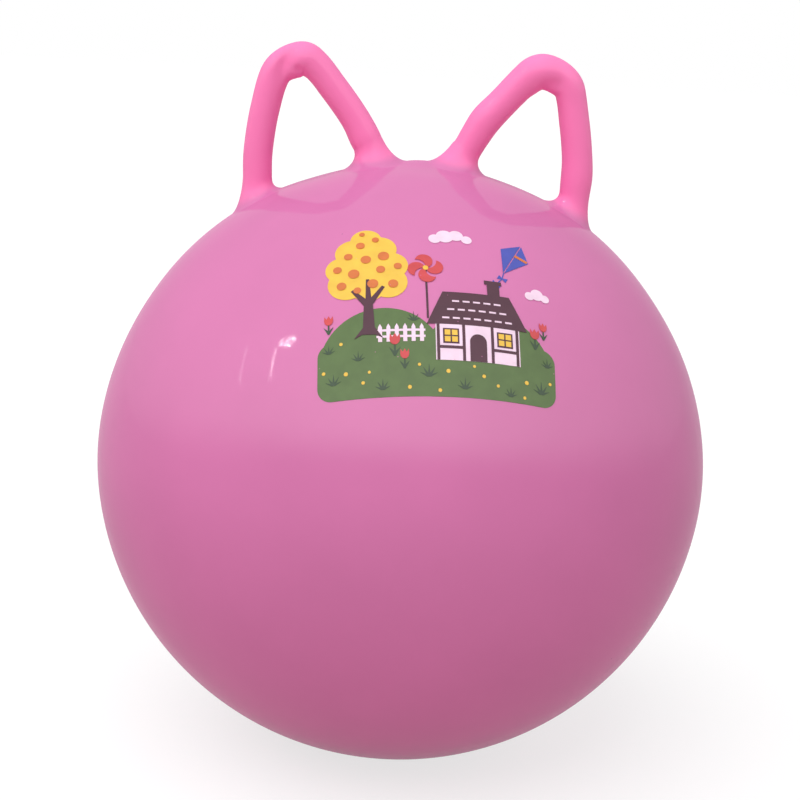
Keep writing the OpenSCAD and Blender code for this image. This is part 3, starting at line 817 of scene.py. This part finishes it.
back = Vector((0, -math.cos(CAMERA_RISE), math.sin(CAMERA_RISE)))
camera_place = Vector((0, 0, equator_z)) + back * CAMERA_DISTANCE
middle = PICTURE_PIXELS / 2
sight = ((BALL_MIDDLE_PIXEL[0] - middle) / FOCAL_PIXELS, (middle - BALL_MIDDLE_PIXEL[1]) / FOCAL_PIXELS)
lens = bpy.data.cameras.new("camera")
lens.sensor_width = SENSOR
lens.lens = SENSOR * FOCAL_PIXELS / PICTURE_PIXELS
bpy.context.scene.camera = place_object(lens, camera_place, aim(back, CAMERA_ROLL, sight))

# Soft studio light: an even pale room, and a large soft lamp above and to the left of the camera.
# In reflections the ceiling and the upper walls before the ball are brighter than what lies below them.
ROOM_LIGHT = 0.545
CEILING_GLOW = 4.2
CEILING_LEAN = 0.25
CEILING_EDGE = (-0.04, 0.26)
CEILING_FRONT, CEILING_BACK = -0.9, 0.8
SUN_SPREAD = math.radians(60)
SOFT_SUNS = {"key": ((-0.26, -0.39, 0.88), 0.72), "fill": ((0.1, -0.98, 0.17), 0.05)}
world = bpy.data.worlds.new("studio")
bpy.context.scene.world = world
world.use_nodes = True
tree = world.node_tree
tree.nodes.clear()
room = add(tree, "ShaderNodeBackground", values={"Color": (1, 1, 1, 1), "Strength": ROOM_LIGHT})
direction = add(tree, "ShaderNodeTexCoord").outputs["Generated"]
towards = add(tree, "ShaderNodeSeparateXYZ", {"Vector": direction}).outputs
height = add(tree, "ShaderNodeMath", {0: towards["Y"], 2: towards["Z"]}, {1: CEILING_LEAN},
             operation="MULTIPLY_ADD")
above = add(tree, "ShaderNodeMapRange", {"Value": height.outputs[0]},
            {"From Min": CEILING_EDGE[0], "From Max": CEILING_EDGE[1]}, interpolation_type="SMOOTHSTEP")
before = add(tree, "ShaderNodeMapRange", {"Value": towards["Y"]},
             {"From Min": CEILING_FRONT, "From Max": CEILING_BACK, "To Min": CEILING_GLOW, "To Max": 0.0})
mirrored = add(tree, "ShaderNodeLightPath").outputs["Is Glossy Ray"]
ceiling = add(tree, "ShaderNodeMath", {0: above.outputs["Result"], 1: mirrored}, operation="MULTIPLY")
glow = add(tree, "ShaderNodeMath", {0: ceiling.outputs[0], 1: before.outputs["Result"]}, {2: 1.0},
           operation="MULTIPLY_ADD")
white = add(tree, "ShaderNodeBackground", {"Strength": glow.outputs[0]}, {"Color": (1, 1, 1, 1)})
seen = add(tree, "ShaderNodeMixShader", {0: seen_directly(tree), 1: room.outputs[0], 2: white.outputs[0]})
add(tree, "ShaderNodeOutputWorld", {"Surface": seen.outputs[0]})


def soft_sun(name, towards, light):
    """A far, wide lamp in this direction. Light is the share of a colour that it alone would show."""
    data = bpy.data.lights.new(name, "SUN")
    data.energy = light * math.pi
    data.angle = SUN_SPREAD
    lamp = place_object(data, (0, 0, 0), Vector(towards).to_track_quat("Z", "Y"))
    lamp.visible_glossy = False


for name, (towards, light) in SOFT_SUNS.items():
    soft_sun(name, towards, light)

# Three small bare lamps on the left only show as reflections: a cluster of bulbs, and two thin tubes.
# Each is given by the two ends of its reflection on the ball, across and up from the ball's middle.
LAMP_DISTANCE = 2.5
BULBS_ACROSS = 5.0
BULB_SHARES, BULB_GAP_GLOW = (0.1, 0.45), 0.015
REFLECTED_LAMPS = {
    "bulbs": {"ends": ((-0.0760, 0.1230), (-0.0752, 0.1162)), "width": 0.26, "radiance": 170},
    "near_tube": {"ends": ((-0.0832, 0.1150), (-0.0852, 0.0960)), "width": 0.010, "radiance": 70},
    "far_tube": {"ends": ((-0.1022, 0.1129), (-0.1050, 0.0900)), "width": 0.010, "radiance": 19},
}


def mirrored_place(across, height):
    """Where a lamp stands that the camera sees mirrored at this place on the front of the ball."""
    rise = height + dome_drop
    out = np.array([across, -math.sqrt(dome_radius ** 2 - across ** 2 - rise ** 2), rise])
    normal = unit(out)
    view = unit(np.array(camera_place) - upper_middle - out)
    return Vector(upper_middle + out + LAMP_DISTANCE * (2 * (normal @ view) * normal - view))


def cluster_bulbs(lamp):
    """Makes a flat round lamp shine only in small spots, as a cluster of bulbs does."""
    lamp.shape = "ELLIPSE"
    lamp.use_nodes = True
    tree = lamp.node_tree
    place = add(tree, "ShaderNodeNewGeometry").outputs["Parametric"]
    bulbs = add(tree, "ShaderNodeTexVoronoi", {"Vector": place}, {"Scale": BULBS_ACROSS})
    spot = add(tree, "ShaderNodeMapRange", {"Value": bulbs.outputs["Distance"]},
               {"From Min": BULB_SHARES[0], "From Max": BULB_SHARES[1],
                "To Min": 1.0, "To Max": BULB_GAP_GLOW})
    tree.links.new(spot.outputs["Result"], tree.nodes["Emission"].inputs["Strength"])


for name, lamp in REFLECTED_LAMPS.items():
    start, end = (mirrored_place(*place) for place in lamp["ends"])
    data = bpy.data.lights.new(name, "AREA")
    data.shape = "RECTANGLE"
    data.size, data.size_y = lamp["width"], (start - end).length
    data.energy = lamp["radiance"] * math.pi * data.size * data.size_y
    if name == "bulbs":
        cluster_bulbs(data)
    along = (start - end).normalized()
    across = along.cross((start + end) / 2 - camera_place).normalized()
    made = place_object(data, (start + end) / 2, turned(across, along, across.cross(along)))
    made.visible_diffuse = False

bpy.context.scene.view_settings.view_transform = "Standard"
